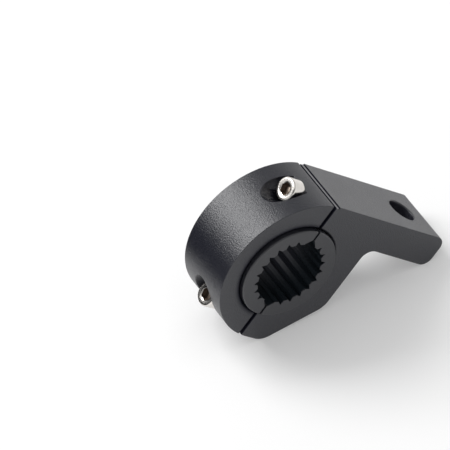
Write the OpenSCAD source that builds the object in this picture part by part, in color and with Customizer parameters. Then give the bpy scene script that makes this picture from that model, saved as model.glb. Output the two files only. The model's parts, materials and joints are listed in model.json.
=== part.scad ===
// Headlight mounting bracket: a two-piece clamp ring with a straight lamp arm.
// Every piece is drawn in the bracket's own axes: X runs along the arm, Y along the tube and
// Z across the arm. The finished pieces are then turned together to the pose in which the
// bracket lies on a flat surface, on the rounded corner of its body and the tip of its arm.

/* [Clamp ring] */
// Thickness of the ring's wall, from the bore to its outer face
ring_wall = 8.5; // [7.5:0.1:12]
// Distance from the tube's axis to the centre of the ring's outer face
ring_shift = 2.5; // [0:0.1:4]
// Width of the bracket along the tube
width = 20; // [16:0.5:30]
// Diameter of the bore that holds the rubber insert
bore_d = 30; // [28:0.1:31]
// Gap between the cap and the body
split_gap = 0.9; // [0.5:0.1:2]
// Chamfer at the mouths of the bore
bore_chamfer = 0.7; // [0.2:0.1:1]
// Broken edge along the outer ends of the split
edge_break = 0.3; // [0.1:0.1:0.6]
// Width of the ledge in the body's top along the split
ledge_w = 1.2; // [0.6:0.1:2]
// Height of the step at the back of the ledge
ledge_step = 0.3; // [0.1:0.1:0.6]
// Height by which the ledge falls towards the split
ledge_fall = 0.2; // [0.1:0.1:0.4]

/* [Body and arm] */
// Distance from the tube's axis to the tip of the arm
arm_reach = 48.5; // [44:0.5:70]
// Thickness of the arm
arm_t = 10; // [7:0.5:13]
// Radius of the two rounded edges at the arm's tip
tip_r = 3.2; // [1:0.1:3.4]
// Thickness of the wall between the bore and the flat back of the body
back_wall = 7.7; // [6.5:0.1:9]
// Radius of the inside corner between the arm and the body
inside_r = 3.5; // [1:0.1:5]
// Width of the sloping cut at the lower corner, measured along the arm
slope_x = 13.5; // [8:0.1:14]
// Height of the sloping cut at the lower corner
slope_z = 15.7; // [10:0.1:17]
// Radius of the two edges of the sloping cut
slope_r = 6; // [2:0.1:6.5]

/* [Lamp hole] */
// Diameter of the hole that takes the lamp's bolt
lamp_hole_d = 8.5; // [5:0.1:10.5]
// Distance from the arm's tip to the hole's centre
lamp_hole_inset = 11.8; // [9:0.1:16]
// Chamfer at the hole's mouths
lamp_hole_chamfer = 0.3; // [0.1:0.1:0.6]

/* [Clamp screws] */
// Thread diameter of the clamp screws
screw_d = 4; // [3:0.1:4.4]
// Length of the screws under the head
screw_l = 12; // [10:0.5:14]
// Diameter of the screw heads
head_d = 7; // [6:0.1:7.6]
// Height of the screw heads
head_h = 4.4; // [3:0.1:5]
// Bevel round the top of the screw heads
head_bevel = 0.4; // [0.1:0.1:0.8]
// Width across the flats of the hexagon socket
socket_w = 3.4; // [2:0.1:3.6]
// Depth of the hexagon socket
socket_depth = 2; // [1:0.1:2.5]
// Angle by which the tightened screws' sockets are turned
socket_turn = 11; // [0:1:59]
// Metal between the bore and each screw hole
screw_wall = 1.95; // [1.5:0.05:2.5]
// Thickness of the cap's metal that each screw clamps
grip = 5.5; // [4:0.1:7.5]
// Diameter allowance of the recess round each screw head
recess_play = 2.2; // [1:0.1:2.6]
// Diameter allowance of the plain screw holes in the cap
hole_play = 0.5; // [0.2:0.1:0.8]
// Diameter allowance between a screw and its tapped hole
thread_play = 0.1; // [0.05:0.05:0.2]
// Depth left in the tapped holes past the end of the screw
tap_spare = 1.5; // [0.5:0.1:2]

/* [Rubber insert] */
// Diameter of the tube that the insert's ribs rest on
tube_d = 20.4; // [18:0.1:23]
// Depth of the grooves between the ribs
groove_depth = 1.3; // [0.6:0.1:1.6]
// Angle between the two sides of a groove
groove_angle = 62; // [30:1:80]
// Grooves in each half of the insert
grooves = 9; // [5:2:11]
// Length by which the insert stands out of the bore at each side
insert_proud = 1.2; // [0:0.1:2]
// Radial play between the insert and the bore
insert_play = 0.05; // [0.05:0.05:0.2]
// Gap between the insert's two halves
insert_gap = 0.7; // [0.2:0.1:1]
// Chamfer on the halves' inner corners, which makes a notch at the split
insert_corner = 1.8; // [0.4:0.1:2.4]
// Chamfer at the insert's outer edges
insert_chamfer = 0.3; // [0.1:0.1:0.8]
// Angle by which the insert is turned in the bore
insert_turn = -1.3; // [-4:0.1:4]

/* [Hidden] */
$fn = 96;

// Small overlap of shapes that are joined or cut, overshoot of a cut past a face, overlap of
// arcs that touch straight edges, and a length past the whole bracket
eps = 0.01;
past = 1;
tangent_lap = 0.001;
big = 200;

bore_r = bore_d / 2;
ring_r = bore_r + ring_wall;
body_reach = bore_r + back_wall;
tube_r = tube_d / 2;
half_gap = split_gap / 2;
recess_d = head_d + recess_play;
recess_floor = half_gap + grip;
screw_hole_d = screw_d + hole_play;
screw_offset = bore_r + screw_wall + screw_hole_d / 2;
arm_under = ring_r - arm_t;
lamp_hole_x = arm_reach - lamp_hole_inset;
tap_end = screw_l - recess_floor + tap_spare;
insert_l = width + 2 * insert_proud;
groove_step = 180 / (grooves + 2);

// The two corners of the sloping cut, before they are rounded
slope_low = [body_reach - slope_x, -ring_r];
slope_high = [body_reach, -ring_r + slope_z];
slope_angle = atan2(slope_z, slope_x);

// The bracket lies on the low round of the slope and the low round of the arm's tip
low_round = [slope_low.x - slope_r * tan(slope_angle / 2), -ring_r + slope_r];
tip_round = [arm_reach - tip_r, arm_under + tip_r];
rest_run = tip_round - low_round;
rest_tilt = atan2(rest_run.y, rest_run.x) + asin((slope_r - tip_r) / norm(rest_run));

// Turns what is drawn in the bracket's own axes to the pose in which it rests
module at_rest() {
    rotate([0, rest_tilt, 0]) children();
}

// Extrudes an outline drawn in X and Z along the tube, centred on the bracket's width
module across(w) {
    rotate([90, 0, 0]) linear_extrude(height = w, center = true) children();
}

// Cylinder along the tube
module rod_y(r, w) {
    rotate([90, 0, 0]) cylinder(r = r, h = w, center = true);
}

// Cylinder along the arm from x0 to x1 at height z
module rod_x(r, x0, x1, z) {
    translate([x0, 0, z]) rotate([0, 90, 0]) cylinder(r = r, h = x1 - x0);
}

// What is cut away to round a corner of an outline with radius r.
// The corner lies at p, and its two edges leave it along the angles a and b.
module corner_cut(p, a, b, r) {
    reach = 1.4;
    to_centre = [cos((a + b) / 2), sin((a + b) / 2)];
    c = p + r / sin(abs(b - a) / 2) * to_centre;
    foot_a = p + ((c - p) * [cos(a), sin(a)]) * [cos(a), sin(a)];
    foot_b = p + ((c - p) * [cos(b), sin(b)]) * [cos(b), sin(b)];
    difference() {
        polygon([
            c,
            c + reach * (foot_a - c),
            c + reach * (p - c),
            c + reach * (foot_b - c)
        ]);
        translate(c) circle(r + tangent_lap);
    }
}

// Small diamond that breaks the outer edge of the ring along the split: side is 1 for the
// body and -1 for the cap, and end is 1 for the upper end of the split and -1 for the lower
module split_break(side, end) {
    edge_z = sqrt(pow(ring_r, 2) - pow(ring_shift - side * half_gap, 2));
    translate([side * half_gap, end * edge_z])
        rotate(45)
            square(edge_break * sqrt(2), center = true);
}

// What is cut from the body's top along the split: a ledge that falls a little to the split
module ledge() {
    polygon([
        [-past, ring_r - ledge_step - ledge_fall * (1 + (past + half_gap) / ledge_w)],
        [half_gap + ledge_w, ring_r - ledge_step],
        [half_gap + ledge_w, ring_r + past],
        [-past, ring_r + past]
    ]);
}

// Disc with the ring's outer face
module ring_disc() {
    translate([ring_shift, 0]) circle(ring_r + tangent_lap);
}

// The half of the drawing to the left of x
module left_of(x) {
    translate([x - big, -big / 2]) square(big);
}

// Outline of the body: its part of the ring, the block with the sloping cut, and the arm
module body_outline() {
    inside_c = [body_reach + inside_r, arm_under - inside_r];
    difference() {
        polygon([
            [half_gap, -ring_r],
            slope_low,
            slope_high,
            [body_reach, inside_c.y],
            inside_c,
            [inside_c.x, arm_under],
            [arm_reach, arm_under],
            [arm_reach, ring_r],
            [half_gap, ring_r]
        ]);
        difference() {
            left_of(ring_shift);
            ring_disc();
        }
        translate(inside_c) circle(inside_r + tangent_lap);
        corner_cut([arm_reach, arm_under], 90, 180, tip_r);
        corner_cut([arm_reach, ring_r], 180, 270, tip_r);
        corner_cut(slope_low, slope_angle, 180, slope_r);
        corner_cut(slope_high, 90, 180 + slope_angle, slope_r);
        split_break(1, -1);
        ledge();
    }
}

// Outline of the cap
module cap_outline() {
    difference() {
        intersection() {
            ring_disc();
            left_of(-half_gap);
        }
        split_break(-1, 1);
        split_break(-1, -1);
    }
}

// Bore for the insert, with a chamfer at both mouths
module bore() {
    rod_y(bore_r, width + 2 * past);
    for (s = [-1, 1])
        translate([0, s * (width / 2 - bore_chamfer + eps), 0])
            rotate([-90 * s, 0, 0])
                cylinder(r1 = bore_r - eps, r2 = bore_r + bore_chamfer, h = bore_chamfer + eps);
}

// The body with its arm, the lamp's hole and the two tapped holes
module bracket_body() {
    color([0.09, 0.09, 0.1]) at_rest() difference() {
        across(width) body_outline();
        bore();
        for (s = [-1, 1])
            rod_x((screw_d + thread_play) / 2, -past, tap_end, s * screw_offset);
        translate([lamp_hole_x, 0, ring_r - arm_t / 2])
            lamp_hole();
    }
}

// Hole through the arm's thickness, with a chamfer at both mouths
module lamp_hole() {
    cylinder(d = lamp_hole_d, h = arm_t + 2 * past, center = true);
    for (s = [0, 180])
        rotate([s, 0, 0])
            translate([0, 0, arm_t / 2 - lamp_hole_chamfer + eps])
                cylinder(
                    d1 = lamp_hole_d - 2 * eps,
                    d2 = lamp_hole_d + 2 * lamp_hole_chamfer,
                    h = lamp_hole_chamfer + eps
                );
}

// The cap with its two flat-bottomed recesses and plain screw holes
module clamp_cap() {
    color([0.09, 0.09, 0.1]) at_rest() difference() {
        across(width) cap_outline();
        bore();
        for (s = [-1, 1]) {
            rod_x(recess_d / 2, -2 * ring_r, -recess_floor, s * screw_offset);
            rod_x(screw_hole_d / 2, -2 * ring_r, past, s * screw_offset);
        }
    }
}

// One half of the ribbed insert: side is 1 for the arm's half and -1 for the cap's
module insert_half(side) {
    outer = bore_r - insert_play;
    root = tube_r + groove_depth;
    lip = tube_r - groove_depth;
    spread = (root - lip) * tan(groove_angle / 2);
    flank = side > 0 ? 0 : 180;
    notch = insert_gap / 2 + insert_corner;
    rotate([0, insert_turn, 0]) difference() {
        rotate([90, 0, 0]) rotate_extrude()
            polygon([
                [tube_r, -insert_l / 2],
                [outer - insert_chamfer, -insert_l / 2],
                [outer, -insert_l / 2 + insert_chamfer],
                [outer, insert_l / 2 - insert_chamfer],
                [outer - insert_chamfer, insert_l / 2],
                [tube_r, insert_l / 2]
            ]);
        across(insert_l + 2 * past)
            rotate(flank)
                left_of(insert_gap / 2);
        across(insert_l + 2 * past)
            for (end = [-1, 1])
                translate([0, end * tube_r])
                    rotate(45)
                        square(notch * sqrt(2), center = true);
        for (i = [-(grooves - 1) / 2 : (grooves - 1) / 2])
            across(insert_l + 2 * past)
                rotate(flank + i * groove_step)
                    polygon([[root, 0], [lip, spread], [lip, -spread]]);
    }
}

module body_insert() {
    color([0.06, 0.06, 0.065]) at_rest() insert_half(1);
}

module cap_insert() {
    color([0.06, 0.06, 0.065]) at_rest() insert_half(-1);
}

// Socket-head screw along the arm, seated on the floor of its recess at height z
module clamp_screw(z) {
    top = -recess_floor - head_h;
    color([0.8, 0.78, 0.75]) at_rest() difference() {
        union() {
            translate([top, 0, z]) rotate([0, 90, 0]) rotate_extrude()
                polygon([
                    [0, 0],
                    [head_d / 2 - head_bevel, 0],
                    [head_d / 2, head_bevel],
                    [head_d / 2, head_h],
                    [0, head_h]
                ]);
            rod_x(screw_d / 2, top + head_h - eps, -recess_floor + screw_l, z);
        }
        translate([top - past, 0, z])
            rotate([0, 90, 0])
                rotate(socket_turn)
                    cylinder(d = socket_w / cos(30), h = socket_depth + past, $fn = 6);
    }
}

module upper_screw() {
    clamp_screw(screw_offset);
}

module lower_screw() {
    clamp_screw(-screw_offset);
}

bracket_body();
clamp_cap();
body_insert();
cap_insert();
upper_screw();
lower_screw();
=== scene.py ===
import json
import math

import bmesh
import bpy
from mathutils import Matrix, Quaternion, Vector


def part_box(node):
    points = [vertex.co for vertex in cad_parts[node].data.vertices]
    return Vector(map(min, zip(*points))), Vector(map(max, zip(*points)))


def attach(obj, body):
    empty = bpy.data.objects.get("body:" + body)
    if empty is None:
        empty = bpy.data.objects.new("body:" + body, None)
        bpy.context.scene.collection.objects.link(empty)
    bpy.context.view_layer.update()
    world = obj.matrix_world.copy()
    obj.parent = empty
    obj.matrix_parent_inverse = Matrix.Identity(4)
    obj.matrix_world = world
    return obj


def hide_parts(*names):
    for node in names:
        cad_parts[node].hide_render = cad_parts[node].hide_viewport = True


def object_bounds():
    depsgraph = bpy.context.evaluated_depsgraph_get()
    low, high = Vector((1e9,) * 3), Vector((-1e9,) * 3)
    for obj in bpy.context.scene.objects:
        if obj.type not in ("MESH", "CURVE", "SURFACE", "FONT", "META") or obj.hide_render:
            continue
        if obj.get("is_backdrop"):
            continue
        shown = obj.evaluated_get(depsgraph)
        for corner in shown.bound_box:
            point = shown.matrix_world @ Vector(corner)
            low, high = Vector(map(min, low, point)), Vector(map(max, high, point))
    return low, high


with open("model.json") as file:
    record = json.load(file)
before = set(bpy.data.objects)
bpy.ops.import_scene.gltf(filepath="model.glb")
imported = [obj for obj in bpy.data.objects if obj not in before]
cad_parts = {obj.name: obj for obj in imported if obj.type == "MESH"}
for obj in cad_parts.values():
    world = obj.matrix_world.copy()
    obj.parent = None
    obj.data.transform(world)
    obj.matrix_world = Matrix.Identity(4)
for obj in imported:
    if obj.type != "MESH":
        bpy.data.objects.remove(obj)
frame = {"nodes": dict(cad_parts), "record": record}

bl_info = {
    "name": "Headlight bracket finish",
    "version": (1, 0, 0),
    "blender": (4, 5, 0),
    "location": "View3D > Sidebar > Bracket",
    "description": "Finishes the clamp bracket's pieces and sets up the studio round it",
    "category": "Object",
}

MM = 0.001
BODY = "root"
PHOTO_PIXELS = 450
SENSOR_MM = 36.0
CAMERA_AIM = Vector((-8.24, 10.21, 5.15))
# The nearest and the farthest point that the camera sees, in metres
CLIP = (0.01, 20)


def mount(name):
    """The record's mount of that name."""
    return next(m for m in frame["record"]["mounts"] if m["name"] == name)


# The bracket's own axes in the row frame: X along the arm, Y along the tube, Z out of the arm's top
ARM_UP = Vector(mount("lamp_bolt_hole")["axis"]).normalized()
TUBE_AXIS = Vector((0, 1, 0))
ARM_ALONG = TUBE_AXIS.cross(ARM_UP)
TO_ROW = Matrix((ARM_ALONG, TUBE_AXIS, ARM_UP)).transposed()


def box_in_bracket(node):
    """Lowest and highest corner of a CAD node along the bracket's own axes, in millimetres."""
    turned = [TO_ROW.transposed() @ v.co / MM for v in frame["nodes"][node].data.vertices]
    lo = Vector(min(v[i] for v in turned) for i in range(3))
    hi = Vector(max(v[i] for v in turned) for i in range(3))
    return lo, hi


SCREW_LO, SCREW_HI = box_in_bracket("upper_screw")
HEAD_D = SCREW_HI.z - SCREW_LO.z
BODY_LO, BODY_HI = box_in_bracket("bracket_body")
# The split face of the body, and a height that only the ledge and the arm's top rise above
SPLIT_X = BODY_LO.x
LEDGE_Z = BODY_HI.z - 0.6
TUBE_R = mount("tube_clamp")["dims"]["r_mm"]
# The front face of the insert stands this far from the bore's middle, in millimetres
INSERT_FACE = -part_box("cap_insert")[0].y / MM

# A screw is modelled about Z, head up, in millimetres. Its axes lie along the bracket's Z, Y and -X
SCREW_AXES = Matrix(((0, 0, -1), (0, 1, 0), (1, 0, 0)))
HEAD_STEPS = 96
ROUND_STEPS = 8
HEXAGON = 6
# Fall of the chamfer at the socket's mouth for each millimetre of its width
LEAD_SLOPE = 0.6
THREAD_STEPS = 48
# Depth of the thread for each millimetre of its pitch
THREAD_DEPTH = 0.6134
# Share of the thread's depth and of its pitch at the points of one turn's profile
THREAD_PROFILE = ((0, 0), (0, 0.25), (1, 0.5625), (1, 0.6875), (0, 1))
# Distance in millimetres under which two points are one, and the length of an edge too short to keep
WELD = 0.0005
TINY_EDGE = 0.05
# Angles in degrees under which faces are one flat face, edges stay smooth and edges aren't rounded
FLAT_DEG = 0.05
SMOOTH_DEG = 35
METAL_DEG = 30
RUBBER_DEG = 20

# Grains and blotches of the finishes and the depths of their bumps, in millimetres
BLAST_GRAIN = 0.42
BLAST_DEPTH = 0.12
METAL_BLOTCH = 7.0
MOULD_GRAIN = 0.35
MOULD_DEPTH = 0.015
RUBBER_BLOTCH = 4.0
SCRATCH_GRAIN = 0.25
SCRATCH_DEPTH = 0.004
STEEL_BLOTCH = 1.6
SOCKET_STAIN = 0.5
PAPER_BLOTCH = 60.0
FELT_GRAIN = 1.0
METAL_IOR = 1.63
RUBBER_IOR = 1.7
# How far a grain and a blotch change the roughness, and how dark and light they make a black
GRAIN_SPREAD = 0.1
BLOTCH_SPREAD = 0.06
BLACK_SHADES = (0.75, 1.25)
# How far the painted highlight on the ledge and the painted shade on its step fade at their edges, in
# millimetres
FADE = 0.1
# The distances from the split at which the painted shade along its seam starts to fade and ends, and the
# width of the painted shade on the ledge's step
SEAM = (0.2, 0.35)
LEDGE_STEP = 0.3
# The radii between which the painted shade in the corner round the insert fades, how strong that painted
# shade is, and the cap's side of X, the only side where it is painted
CORNER_R = (15.3, 17.1)
CORNER_SHARE = 0.85
CAP_SIDE = (-1.0, 0.0)
# How far outside the tube and under its front face the insert turns darker and duller as painted shade,
# and where that painted shade in its bore deepens towards the front
GROOVE_FADE = (1.4, 1.8)
BORE_FADE = (0.05, 0.5)
DEEP_Y = (-9.0, 4.0)

# The softbox's direction from the bracket and the direction of its long side, in the row frame
LAMP_DIRECTION = Vector((-0.407, 0.611, 0.679))
LAMP_ALONG = Vector((0.857, 0, 0.515))

# Half the side of the floor, in metres
FLOOR_HALF = 4

# The sine of the height at which the surroundings change, and the cone that the camera fills
SKY_MIDDLE = (0, 0.7)
SKY_TOP = (0.75, 0.9)
CAMERA_CONE = (0.9, 0.98)

# The dark card: the middle of its foot from the bore's centre, the way it faces, its size and colours
CARD_FOOT = (-48, 30, 0)
CARD_FACING = Vector((0.77, -0.61, 0))
CARD_SIZE = (90, 50, 1)
CARD_BLACKS = ((0.01, 0.01, 0.012), (0.03, 0.03, 0.034))

# Sockets of a Mix node that mixes colours
MIX_FACTOR = 0
MIX_A = 6
MIX_B = 7
MIX_RESULT = 2


def length(name, description, default, **limits):
    """A length in millimetres."""
    return bpy.props.FloatProperty(name=name, description=description, default=default, **limits)


def share(name, description, default):
    """A number from 0 to 1."""
    return bpy.props.FloatProperty(
        name=name, description=description, default=default, min=0, max=1, subtype="FACTOR"
    )


def light(name, description, default):
    """A brightness, where 1 is white."""
    return bpy.props.FloatProperty(name=name, description=description, default=default, min=0)


def colour(name, description, default):
    """A colour in linear light."""
    return bpy.props.FloatVectorProperty(
        name=name, description=description, default=default, min=0, max=1, size=3, subtype="COLOR"
    )


def angle(name, description, degrees):
    """An angle that is given here in degrees and kept in radians."""
    return bpy.props.FloatProperty(
        name=name, description=description, default=math.radians(degrees), subtype="ANGLE"
    )


class BracketSizes(bpy.types.PropertyGroup):
    """Sizes of the details that the finish adds, in millimetres"""

    metal_edge: length("Metal edge", "Width of the broken edges of the body and the cap", 0.16, min=0.02)
    # The highlit strip is a painted highlight: a pale colour along the ledge's edge
    ledge: length("Rubbed ledge", "Width of the rubbed strip on the body's top edge", 1.0, min=0)
    rubber_edge: length("Rubber edge", "Width of the rounded edges of the insert", 0.1, min=0.02)
    head_h: length("Head height", "Height of the screw heads", 4.4, min=1)
    head_round: length("Head round", "Radius round the top of the screw heads", 0.6, min=0.05)
    head_foot: length("Head foot", "Chamfer under the screw heads", 0.12, min=0.02)
    socket_w: length("Socket", "Width across the flats of the hexagon socket", 3.4, min=1)
    socket_depth: length("Socket depth", "Depth of the hexagon socket", 2.0, min=0.5)
    socket_point: length("Socket point", "Depth of the drill point under the socket", 0.4, min=0)
    socket_lead: length("Socket lead", "Width of the chamfer at the socket's corners", 0.12, min=0.02)
    socket_turn: angle("Socket turn", "Angle by which the tightened screws' sockets are turned", -11)
    thread_d: length("Thread diameter", "Outer diameter of the screws' thread", 4.0, min=1)
    pitch: length("Pitch", "Distance between two turns of the thread", 0.7, min=0.2)


class BracketColours(bpy.types.PropertyGroup):
    """Colours and roughnesses of the finishes and the floor"""

    anodised: colour("Anodised metal", "Colour of the black anodised metal", (0.0085, 0.0093, 0.0160))
    # Colour of the painted highlight along the ledge's edge
    highlit: colour("Rubbed edge", "Colour of the strip where the black is rubbed", (0.2, 0.2, 0.21))
    anodised_rough: share("Anodised roughness", "Roughness of the blasted metal", 0.35)
    rubber: colour("Rubber", "Colour of the insert", (0.0090, 0.0098, 0.0150))
    # Colour of the painted shade deep in the insert's bore, towards its front
    bore: colour("Bore", "Colour of the rubber deep between the ribs", (0.010, 0.014, 0.018))
    rubber_rough: share("Rubber roughness", "Roughness of the insert", 0.45)
    steel: colour("Steel", "Colour of the stainless screws", (0.78, 0.75, 0.71))
    steel_rough: share("Steel roughness", "Roughness of the polished heads", 0.2)
    # The socket's colour is darkened as painted shade of the socket's recess
    socket: colour("Socket", "Colour of the dull steel inside the sockets", (0.30, 0.25, 0.21))
    floor: colour("Floor", "Colour of the studio's floor", (0.93, 0.93, 0.93))
    floor_glow: share("Floor glow", "Share of plain white in the floor and its reflections", 0.24)


class StudioSettings(bpy.types.PropertyGroup):
    """Where the camera and the lamp stand, in the row frame, and how bright the studio is"""

    azimuth: angle("Azimuth", "Direction of the camera round the bracket", -25.98)
    elevation: angle("Elevation", "Height of the camera above the horizon", 47.19)
    roll: angle("Roll", "Turn of the camera about its own axis", -4.79)
    distance: length("Distance", "Distance from the camera to the point it aims at", 1355.6, min=1)
    focal_px: length("Focal length", "Focal length in the photograph's pixels", 4860.2, min=1)
    lamp_distance: length("Lamp distance", "Distance from the softbox to the bracket", 1200, min=100)
    lamp_long: length("Lamp length", "Long side of the softbox", 950, min=10)
    lamp_short: length("Lamp width", "Short side of the softbox", 550, min=10)
    lamp_power: bpy.props.FloatProperty(
        name="Lamp power", description="Power of the softbox", default=12.8, min=0, unit="POWER"
    )
    horizon: light("Horizon", "Brightness of the surroundings at the horizon", 1.05)
    middle: light("Middle", "Brightness of the surroundings halfway up", 0.3)
    zenith: light("Zenith", "Brightness of the surroundings overhead", 0.95)
    camera_side: light("Camera side", "Brightness of the surroundings behind the camera", 0.1)


def sizes():
    return bpy.context.scene.bracket_sizes


def colours():
    return bpy.context.scene.bracket_colours


def studio():
    return bpy.context.scene.bracket_studio


class Val:
    """A shader socket, so that shader maths reads as an expression."""

    def __init__(self, tree, socket):
        self.tree = tree
        self.socket = socket

    def math(self, operation, *others):
        """The result of a Math node on this socket and others."""
        return self.tree.number(operation, self, *others)

    def __add__(self, other):
        return self.math("ADD", other)

    def __sub__(self, other):
        return self.math("SUBTRACT", other)

    def __rsub__(self, other):
        return self.tree.number("SUBTRACT", other, self)

    def __mul__(self, other):
        return self.math("MULTIPLY", other)

    def __truediv__(self, other):
        return self.math("DIVIDE", other)

    __radd__ = __add__
    __rmul__ = __mul__

    def step(self, lo, hi):
        """0 below lo, 1 above hi and a smooth change between them."""
        settings = {"interpolation_type": "SMOOTHSTEP"}
        values = {"Value": self, "From Min": lo, "From Max": hi}
        return self.tree.node("ShaderNodeMapRange", settings, values)

    def between(self, lo, hi):
        """1 from lo to hi, fading to 0 on both sides of them."""
        return self.step(lo - FADE, lo) * (1 - self.step(hi, hi + FADE))


class Tree:
    """The node tree of a material or of the world, built by method calls."""

    def __init__(self, owner):
        owner.use_nodes = True
        self.nodes = owner.node_tree.nodes
        self.links = owner.node_tree.links
        self.nodes.clear()

    def node(self, kind, settings=None, values=None, out=0):
        """Adds a node: its settings first, then the values or links of its sockets."""
        made = self.nodes.new(kind)
        for key, value in (settings or {}).items():
            setattr(made, key, value)
        for key, value in (values or {}).items():
            if isinstance(value, Val):
                self.links.new(value.socket, made.inputs[key])
            else:
                made.inputs[key].default_value = value
        return Val(self, made.outputs[out]) if len(made.outputs) else None

    def number(self, operation, *values):
        """The result of a Math node on values or sockets."""
        return self.node("ShaderNodeMath", {"operation": operation}, dict(enumerate(values)))

    def place(self):
        """The point on the piece, in metres, in the row frame."""
        return self.node("ShaderNodeTexCoord", out="Object")

    def noise(self, place, grain_mm, detail=2.0, rough=0.5):
        """Noise from 0 to 1 whose grains are about grain_mm across."""
        values = {
            "Vector": place,
            "Scale": 1 / (grain_mm * MM),
            "Detail": detail,
            "Roughness": rough,
        }
        return self.node("ShaderNodeTexNoise", {"noise_dimensions": "3D"}, values)

    def blend(self, factor, first, second):
        """A colour between first and second."""
        values = {MIX_FACTOR: factor, MIX_A: first, MIX_B: second}
        return self.node("ShaderNodeMix", {"data_type": "RGBA"}, values, out=MIX_RESULT)

    def shades(self, factor, value, low, high):
        """A colour that the factor makes darker or lighter."""
        return self.blend(factor, rgba(value, low), rgba(value, high))

    def worn(self, rough, grain, cloud):
        """A roughness that varies round its mean with a fine grain and with blotches."""
        return rough + (grain - 0.5) * GRAIN_SPREAD + (cloud - 0.5) * BLOTCH_SPREAD

    def bump(self, height, depth_mm, strength=1.0):
        """A normal that a height from 0 to 1 tilts."""
        values = {"Height": height, "Distance": depth_mm * MM, "Strength": strength}
        return self.node("ShaderNodeBump", None, values)

    def along(self, place, axis):
        """How far a point lies along an axis, in millimetres."""
        settings = {"operation": "DOT_PRODUCT"}
        return self.node("ShaderNodeVectorMath", settings, {0: place, 1: axis / MM}, out="Value")

    def axes(self, place):
        """The three coordinates of a point."""
        parts = self.node("ShaderNodeSeparateXYZ", None, {0: place}).socket.node
        return [Val(self, axis) for axis in parts.outputs]

    def round_bore(self, place):
        """The distance of a point from the tube's axis and its place along it, in millimetres."""
        x, y, z = (axis / MM for axis in self.axes(place))
        return (x * x + z * z).math("SQRT"), y

    def shader(self, values):
        """A Principled shader with those values or links."""
        return self.node("ShaderNodeBsdfPrincipled", None, values)

    def mix(self, factor, first, second):
        """A shader between first and second."""
        return self.node("ShaderNodeMixShader", None, {0: factor, 1: first, 2: second})

    def end(self, shader):
        """Ends a material's tree with that shader."""
        self.node("ShaderNodeOutputMaterial", None, {"Surface": shader})


def rgba(value, gain=1.0):
    return (value[0] * gain, value[1] * gain, value[2] * gain, 1.0)


def anodised(material):
    """Black anodised aluminium, bead-blasted, with a painted highlight on the ledge and painted shade
    along the seams, on the ledge's step and in the corner round the insert on the cap's side.
    """
    c = colours()
    tree = Tree(material)
    place = tree.place()
    grain = tree.noise(place, BLAST_GRAIN, rough=0.6)
    cloud = tree.noise(place, METAL_BLOTCH)
    x = tree.along(place, ARM_ALONG)
    on_ledge = tree.along(place, ARM_UP).step(LEDGE_Z - FADE, LEDGE_Z)
    ledge_end = SPLIT_X + sizes().ledge
    # Painted highlight: a pale strip of colour along the ledge's edge
    highlit = on_ledge * x.between(SPLIT_X + SEAM[1], ledge_end - FADE)
    black = tree.shades(cloud * 0.4 + grain * 0.6, c.anodised, *BLACK_SHADES)
    face = tree.shader({
        "Base Color": tree.blend(highlit * (0.7 + cloud * 0.5), black, rgba(c.highlit)),
        "Roughness": tree.worn(c.anodised_rough, grain, cloud),
        "Normal": tree.bump(grain, BLAST_DEPTH),
        "IOR": METAL_IOR,
    })
    # A dark shader with little reflection, mixed in as painted shade
    shaded = tree.shader({"Base Color": black, "Roughness": 0.6, "Specular IOR Level": 0.05})
    # Painted shade along the split between the body and the cap
    split = 1 - x.math("ABSOLUTE").step(SPLIT_X + SEAM[0], SPLIT_X + SEAM[1])
    # Painted shade on the ledge's step
    step = on_ledge * x.between(ledge_end + FADE, ledge_end + LEDGE_STEP)
    # Painted shade in the corner round the insert, on the cap's side only
    near_insert = 1 - tree.round_bore(place)[0].step(*CORNER_R)
    corner = near_insert * (1 - x.step(*CAP_SIDE)) * CORNER_SHARE
    tree.end(tree.mix((split + step).math("MAXIMUM", corner), face, shaded))


def rubber(material):
    """Moulded black rubber with a faint mould texture, and painted shade between the ribs of its bore,
    deepening towards its front.
    """
    c = colours()
    tree = Tree(material)
    place = tree.place()
    mould = tree.noise(place, MOULD_GRAIN)
    cloud = tree.noise(place, RUBBER_BLOTCH)
    normal = tree.bump(mould, MOULD_DEPTH, 0.6)
    face = tree.shader({
        "Base Color": tree.shades(cloud, c.rubber, *BLACK_SHADES),
        "Roughness": tree.worn(c.rubber_rough, mould, cloud),
        "Normal": normal,
        "IOR": RUBBER_IOR,
    })
    # Painted shade between the ribs: darker, less reflective and rougher rubber
    ribs = tree.shader({
        "Base Color": tree.shades(mould, c.rubber, 0.4, 0.9),
        "Roughness": 0.6,
        "Normal": normal,
        "Specular IOR Level": 0.17,
    })
    # Deeper painted shade towards the bore's front
    deep = tree.shader({"Base Color": rgba(c.bore), "Roughness": 0.7, "Specular IOR Level": 0.04})
    radius, y = tree.round_bore(place)
    depth = INSERT_FACE - y.math("ABSOLUTE")
    # Where the painted shade lies: in the bore's grooves, deepening towards the front
    in_bore = depth.step(*BORE_FADE) * (1 - radius.step(*(TUBE_R + out for out in GROOVE_FADE)))
    tree.end(tree.mix(in_bore, face, tree.mix(y.step(*DEEP_Y), deep, ribs)))


def steel(material):
    """Polished stainless steel with faint scratches."""
    c = colours()
    tree = Tree(material)
    place = tree.place()
    scratches = tree.noise(place, SCRATCH_GRAIN, detail=4.0, rough=0.7)
    tree.end(tree.shader({
        "Base Color": tree.shades(tree.noise(place, STEEL_BLOTCH), c.steel, 0.88, 1.05),
        "Roughness": c.steel_rough + (scratches - 0.5) * GRAIN_SPREAD,
        "Normal": tree.bump(scratches, SCRATCH_DEPTH, 0.4),
        "Metallic": 1.0,
    }))


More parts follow.
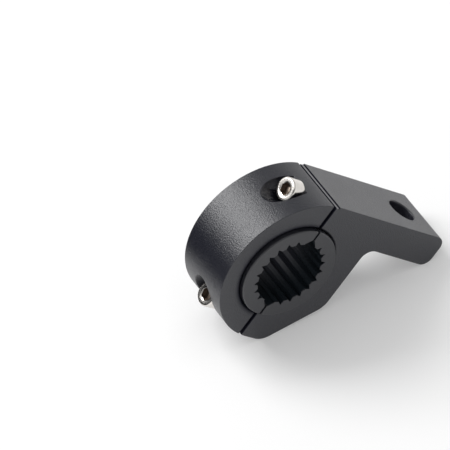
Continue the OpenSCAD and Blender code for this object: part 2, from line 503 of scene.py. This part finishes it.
def shaded_socket_steel(material):
    """The screws' sockets inside: broached and duller than the heads, their colour darkened as painted
    shade of the recess.
    """
    tree = Tree(material)
    stain = tree.noise(tree.place(), SOCKET_STAIN, detail=3.0)
    tree.end(tree.shader({
        "Base Color": tree.shades(stain, colours().socket, 0.5, 1.4),
        "Roughness": 0.3 + stain * 0.2,
        "Metallic": 1.0,
    }))


MATERIALS = {
    "anodised_aluminium": anodised,
    "rubber": rubber,
    "stainless_steel": steel,
    "socket": shaded_socket_steel,
}


def finish_of(slot):
    """The material of a slot in the record, made once."""
    made = bpy.data.materials.get(slot + "_finish")
    if not made:
        made = bpy.data.materials.new(slot + "_finish")
        MATERIALS[slot](made)
    return made


def piece_from(bm, slot, node):
    """A piece that stands for a CAD node, with that slot's finish and flat faces kept flat."""
    mesh = bpy.data.meshes.new(node + "_finished")
    bm.to_mesh(mesh)
    bm.free()
    mesh.shade_smooth()
    mesh.set_sharp_from_angle(angle=math.radians(SMOOTH_DEG))
    mesh.materials.append(finish_of(slot))
    piece = bpy.data.objects.new(mesh.name, mesh)
    bpy.context.scene.collection.objects.link(piece)
    flat = piece.modifiers.new("flat_faces", "WEIGHTED_NORMAL")
    flat.keep_sharp = True
    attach(piece, BODY)
    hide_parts(node)
    return piece


def copy_of(node):
    """A bmesh copy of a CAD node's mesh, with its loose triangles merged into flat faces."""
    bm = bmesh.new()
    bm.from_mesh(frame["nodes"][node].data)
    bmesh.ops.remove_doubles(bm, verts=bm.verts, dist=WELD * MM)
    bmesh.ops.dissolve_limit(
        bm,
        angle_limit=math.radians(FLAT_DEG),
        use_dissolve_boundaries=False,
        verts=bm.verts,
        edges=bm.edges,
    )
    bmesh.ops.remove_doubles(bm, verts=bm.verts, dist=TINY_EDGE * MM)
    return bm


def round_edges(bm, sharp_deg, width):
    """Rounds every outer edge that is sharper than sharp_deg over a width in millimetres."""
    limit = math.radians(sharp_deg)
    sharp = [e for e in bm.edges if e.is_manifold and e.calc_face_angle_signed(0) > limit]
    bmesh.ops.bevel(
        bm,
        geom=sharp,
        offset=width * MM,
        offset_type="OFFSET",
        segments=2,
        profile=0.5,
        affect="EDGES",
        clamp_overlap=True,
        material=-1,
    )


class BRACKET_OT_metal(bpy.types.Operator):
    """Gives the body and the cap their broken edges and blasted black finish"""

    bl_idname = "bracket.metal"
    bl_label = "Body and cap"

    def execute(self, context):
        for node in ("bracket_body", "clamp_cap"):
            bm = copy_of(node)
            round_edges(bm, METAL_DEG, sizes().metal_edge)
            piece_from(bm, "anodised_aluminium", node)
        return {"FINISHED"}


class BRACKET_OT_insert(bpy.types.Operator):
    """Gives the two halves of the ribbed insert their soft edges and rubber finish"""

    bl_idname = "bracket.insert"
    bl_label = "Rubber insert"

    def execute(self, context):
        for node in ("body_insert", "cap_insert"):
            bm = copy_of(node)
            round_edges(bm, RUBBER_DEG, sizes().rubber_edge)
            piece_from(bm, "rubber", node)
        return {"FINISHED"}


def spun(bm, points, steps, turns=1, climb=0.0):
    """Spins a line of (radius, height) points about Z, climbing by climb each turn."""
    verts = [bm.verts.new((r, 0, z)) for r, z in points]
    edges = [bm.edges.new(pair) for pair in zip(verts, verts[1:])]
    bmesh.ops.spin(
        bm,
        geom=verts + edges,
        cent=(0, 0, 0),
        axis=(0, 0, 1),
        dvec=(0, 0, climb / steps),
        angle=2 * math.pi * turns,
        steps=steps * turns,
        use_merge=climb == 0,
        use_duplicate=False,
    )
    bmesh.ops.remove_doubles(bm, verts=bm.verts, dist=WELD)


def arc_points(centre, radius, start_deg, end_deg, count):
    """Points on an arc, as (radius, height) pairs."""
    turn = math.radians(end_deg - start_deg)
    first = math.radians(start_deg)
    return [
        (
            centre[0] + radius * math.cos(first + turn * i / count),
            centre[1] + radius * math.sin(first + turn * i / count),
        )
        for i in range(count + 1)
    ]


def rim(bm, height):
    """The open edges of a bmesh that lie at that height."""
    return [
        e for e in bm.edges if e.is_boundary and all(abs(v.co.z - height) < WELD for v in e.verts)
    ]


def threaded_shank(bm, shank_l):
    """The threaded shank about Z, hanging from Z = 0, with a chamfered tip and an open top."""
    s = sizes()
    crest = s.thread_d / 2
    depth = s.pitch * THREAD_DEPTH
    # The thread starts below the tip and ends above the seat, and the cuts take the rest away
    turns = math.ceil(shank_l / s.pitch) + 2
    foot = -shank_l - 1.5 * s.pitch
    profile = [(crest - depth * (1 - out), foot + s.pitch * up) for out, up in THREAD_PROFILE]
    spun(bm, profile, THREAD_STEPS, turns, s.pitch)
    for height, side in ((0, 1), (-shank_l, -1)):
        cut = bm.verts[:] + bm.edges[:] + bm.faces[:]
        bmesh.ops.bisect_plane(
            bm,
            geom=cut,
            dist=WELD,
            plane_co=(0, 0, height),
            plane_no=(0, 0, side),
            clear_outer=True,
        )
    for v in bm.verts:
        most = crest - max(0, depth - shank_l - v.co.z)
        v.co.xy *= min(1, most / v.co.xy.length)
    bmesh.ops.triangle_fill(bm, use_beauty=True, use_dissolve=False, edges=rim(bm, -shank_l))


def screw_head(bm):
    """The head with its rounded top and its hexagon socket, standing on Z = 0, open underneath."""
    s = sizes()
    head_r = HEAD_D / 2
    corner_r = s.socket_w / 2 / math.cos(math.pi / HEXAGON)
    mouth_r = corner_r + s.socket_lead
    profile = [(head_r - s.head_foot, 0), (head_r, s.head_foot)]
    profile += arc_points(
        (head_r - s.head_round, s.head_h - s.head_round), s.head_round, 0, 90, ROUND_STEPS
    )
    profile.append((mouth_r, s.head_h))
    spun(bm, profile, HEAD_STEPS)
    mouth = rim(bm, s.head_h)
    made = bmesh.ops.create_circle(bm, cap_ends=False, radius=corner_r, segments=HEXAGON)
    corners = set(made["verts"])
    sides = [e for e in bm.edges if corners.issuperset(e.verts)]
    bmesh.ops.subdivide_edges(bm, edges=sides, cuts=HEAD_STEPS // HEXAGON - 1)
    socket = [e for e in bm.edges if e.is_wire]
    for v in {v for e in socket for v in e.verts}:
        v.co.z = s.head_h - (mouth_r - v.co.xy.length) * LEAD_SLOPE
    bmesh.ops.bridge_loops(bm, edges=mouth + socket)
    wall = bmesh.ops.extrude_edge_only(bm, edges=socket)["geom"]
    for v in (v for v in wall if isinstance(v, bmesh.types.BMVert)):
        v.co.z = s.head_h - s.socket_depth
    floor = bmesh.ops.edgeloop_fill(bm, edges=rim(bm, s.head_h - s.socket_depth))
    floor = bmesh.ops.poke(bm, faces=floor["faces"], offset=-s.socket_point)
    for face in [f for f in wall if isinstance(f, bmesh.types.BMFace)] + floor["faces"]:
        face.material_index = 1
    bmesh.ops.rotate(
        bm, verts=bm.verts, cent=(0, 0, 0), matrix=Matrix.Rotation(s.socket_turn, 3, "Z")
    )


class BRACKET_OT_screws(bpy.types.Operator):
    """Makes the two socket-head screws with their rounded heads, sockets and threads"""

    bl_idname = "bracket.screws"
    bl_label = "Clamp screws"

    def execute(self, context):
        s = sizes()
        for node in ("upper_screw", "lower_screw"):
            lo, hi = box_in_bracket(node)
            bm = bmesh.new()
            threaded_shank(bm, hi.x - lo.x - s.head_h)
            screw_head(bm)
            bmesh.ops.triangle_fill(bm, use_beauty=True, use_dissolve=False, edges=rim(bm, 0))
            bmesh.ops.recalc_face_normals(bm, faces=bm.faces)
            seat = Vector((lo.x + s.head_h, (lo.y + hi.y) / 2, (lo.z + hi.z) / 2))
            place = TO_ROW.to_4x4() @ Matrix.Translation(seat) @ SCREW_AXES.to_4x4()
            bmesh.ops.transform(bm, verts=bm.verts, matrix=Matrix.Scale(MM, 4) @ place)
            piece = piece_from(bm, "stainless_steel", node)
            piece.data.materials.append(finish_of("socket"))
        return {"FINISHED"}


class BRACKET_OT_stage(bpy.types.Operator):
    """Makes the camera, the floor, the softbox, the dark card and the soft surroundings"""

    bl_idname = "bracket.stage"
    bl_label = "Studio"

    def execute(self, context):
        self.camera()
        self.floor()
        self.lamp()
        self.card()
        self.world()
        context.scene.view_settings.view_transform = "Standard"
        return {"FINISHED"}

    def back(self):
        """The direction from the bracket to the camera."""
        s = studio()
        return Vector((
            math.sin(s.azimuth) * math.cos(s.elevation),
            -math.cos(s.azimuth) * math.cos(s.elevation),
            math.sin(s.elevation),
        ))

    def camera(self):
        s = studio()
        aim = CAMERA_AIM * MM
        back = self.back()
        lens = bpy.data.cameras.new("camera")
        lens.sensor_width = SENSOR_MM
        lens.lens = s.focal_px * SENSOR_MM / PHOTO_PIXELS
        lens.clip_start, lens.clip_end = CLIP
        shown = bpy.data.objects.new("camera", lens)
        bpy.context.scene.collection.objects.link(shown)
        shown.location = aim + back * s.distance * MM
        shown.rotation_mode = "QUATERNION"
        shown.rotation_quaternion = (-back).to_track_quat("-Z", "Y") @ Quaternion((0, 0, 1), s.roll)
        bpy.context.scene.camera = shown

    def floor(self):
        bm = bmesh.new()
        bmesh.ops.create_grid(bm, x_segments=1, y_segments=1, size=FLOOR_HALF)
        bmesh.ops.translate(bm, verts=bm.verts, vec=(0, 0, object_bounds()[0].z))
        mesh = bpy.data.meshes.new("floor")
        bm.to_mesh(mesh)
        bm.free()
        made = bpy.data.materials.new("pale_floor")
        tree = Tree(made)
        base = tree.shades(tree.noise(tree.place(), PAPER_BLOTCH), colours().floor, 0.99, 1.01)
        paper = tree.shader({"Base Color": base, "Roughness": 0.9, "Specular IOR Level": 0.0})
        white = tree.node("ShaderNodeEmission", None, {"Strength": 1.0})
        path = tree.node("ShaderNodeLightPath").socket.node.outputs
        rays = ("Is Camera Ray", "Is Glossy Ray", "Is Transmission Ray")
        camera, glossy, through = (Val(tree, path[ray]) for ray in rays)
        seen = (camera + glossy + through) * colours().floor_glow
        tree.end(tree.mix(seen, paper, white))
        mesh.materials.append(made)
        shown = bpy.data.objects.new("floor", mesh)
        bpy.context.scene.collection.objects.link(shown)
        shown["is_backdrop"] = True

    def lamp(self):
        """The softbox, a rectangular lamp that shines on the bracket."""
        s = studio()
        lamp = bpy.data.lights.new("softbox", "AREA")
        lamp.shape = "RECTANGLE"
        lamp.size = s.lamp_long * MM
        lamp.size_y = s.lamp_short * MM
        lamp.energy = s.lamp_power
        shown = bpy.data.objects.new("softbox", lamp)
        bpy.context.scene.collection.objects.link(shown)
        back = LAMP_DIRECTION.normalized()
        across = back.cross(LAMP_ALONG).normalized()
        turn = Matrix((across.cross(back), across, back)).transposed()
        shown.location = sum(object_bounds(), Vector()) / 2 + LAMP_DIRECTION * s.lamp_distance * MM
        shown.rotation_mode = "QUATERNION"
        shown.rotation_quaternion = turn.to_quaternion()

    def card(self):
        """A dark card beside the cap, which only its reflections show."""
        bm = bmesh.new()
        bmesh.ops.create_grid(bm, x_segments=1, y_segments=1, size=0.5)
        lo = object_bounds()[0]
        turn = CARD_FACING.to_track_quat("Z", "Y").to_matrix()
        bmesh.ops.scale(bm, verts=bm.verts, vec=Vector(CARD_SIZE) * MM)
        bmesh.ops.rotate(bm, verts=bm.verts, cent=(0, 0, 0), matrix=turn)
        lift = Vector((0, 0, lo.z + CARD_SIZE[1] / 2 * MM))
        bmesh.ops.translate(bm, verts=bm.verts, vec=Vector(CARD_FOOT) * MM + lift)
        mesh = bpy.data.meshes.new("dark_card")
        bm.to_mesh(mesh)
        bm.free()
        made = bpy.data.materials.new("dark_card")
        tree = Tree(made)
        felt = tree.noise(tree.place(), FELT_GRAIN)
        base = tree.blend(felt, *(rgba(black) for black in CARD_BLACKS))
        tree.end(tree.shader({"Base Color": base, "Roughness": 0.9, "Specular IOR Level": 0.0}))
        mesh.materials.append(made)
        shown = bpy.data.objects.new("dark_card", mesh)
        bpy.context.scene.collection.objects.link(shown)
        shown.visible_camera = False
        shown.visible_diffuse = False
        shown.visible_shadow = False
        shown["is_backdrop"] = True

    def world(self):
        s = studio()
        made = bpy.data.worlds.new("studio")
        bpy.context.scene.world = made
        tree = Tree(made)
        direction = tree.node("ShaderNodeTexCoord", out="Generated")
        height = tree.axes(direction)[2]
        sky = tree.blend(height.step(*SKY_MIDDLE), rgba((s.horizon,) * 3), rgba((s.middle,) * 3))
        sky = tree.blend(height.step(*SKY_TOP), sky, rgba((s.zenith,) * 3))
        near_camera = tree.along(direction, self.back() * MM)
        sky = tree.blend(near_camera.step(*CAMERA_CONE), sky, rgba((s.camera_side,) * 3))
        shown = tree.node("ShaderNodeBackground", None, {"Color": sky})
        tree.node("ShaderNodeOutputWorld", None, {"Surface": shown})


OPERATORS = (BRACKET_OT_metal, BRACKET_OT_insert, BRACKET_OT_screws, BRACKET_OT_stage)


class BRACKET_PT_panel(bpy.types.Panel):
    """Lists the steps in the order in which they run"""

    bl_idname = "BRACKET_PT_panel"
    bl_label = "Headlight bracket"
    bl_space_type = "VIEW_3D"
    bl_region_type = "UI"
    bl_category = "Bracket"

    def draw(self, context):
        for group in (sizes(), colours(), studio()):
            box = self.layout.box()
            for name in group.bl_rna.properties.keys():
                if name not in ("rna_type", "name"):
                    box.prop(group, name)
        for operator in OPERATORS:
            self.layout.operator(operator.bl_idname)


GROUPS = (BracketSizes, BracketColours, StudioSettings)


def register():
    for cls in (*GROUPS, *OPERATORS, BRACKET_PT_panel):
        bpy.utils.register_class(cls)
    bpy.types.Scene.bracket_sizes = bpy.props.PointerProperty(type=BracketSizes)
    bpy.types.Scene.bracket_colours = bpy.props.PointerProperty(type=BracketColours)
    bpy.types.Scene.bracket_studio = bpy.props.PointerProperty(type=StudioSettings)


def unregister():
    del bpy.types.Scene.bracket_studio
    del bpy.types.Scene.bracket_colours
    del bpy.types.Scene.bracket_sizes
    for cls in reversed((*GROUPS, *OPERATORS, BRACKET_PT_panel)):
        bpy.utils.unregister_class(cls)


def main():
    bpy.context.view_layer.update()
    register()
    bpy.ops.bracket.metal()
    bpy.ops.bracket.insert()
    bpy.ops.bracket.screws()
    bpy.ops.bracket.stage()


if __name__ == "__main__":
    main()
